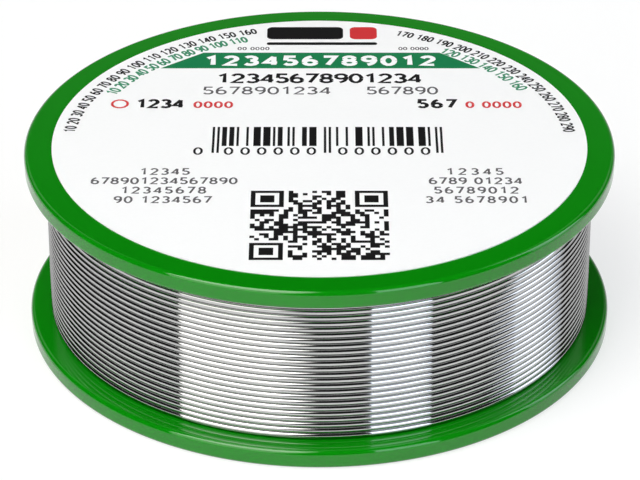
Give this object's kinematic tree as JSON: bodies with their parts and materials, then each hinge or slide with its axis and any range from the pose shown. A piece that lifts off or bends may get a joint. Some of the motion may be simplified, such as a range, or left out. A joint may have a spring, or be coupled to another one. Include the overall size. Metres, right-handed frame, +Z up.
{
  "type": "solder wire spool",
  "caption": "Round flanged spool standing on its lower flange, wound full of thin solder wire, with a paper disc over the upper flange and a spindle bore open below.",
  "frame": {"origin": "centre of the spool's underside, where the lower flange stands", "axes": "+Z up along the spindle axis, from the lower flange to the label; +X and +Y lie in the underside, with the outer layer's step-over and the tucked wire end towards +Y"},
  "size_m": [0.066, 0.066, 0.0221],
  "materials": {
    "green_plastic": "gloss",
    "solder": "polished",
    "flux": "satin",
    "label_paper": "satin"
  },
  "bodies": {
    "root": {"lower_flange": "green_plastic", "upper_flange": "green_plastic", "hub": "green_plastic", "inner_windings": "solder", "outer_winding": "solder", "wire_start": "solder", "flux_core": "flux", "label": "label_paper"}
  },
  "joints": []
}
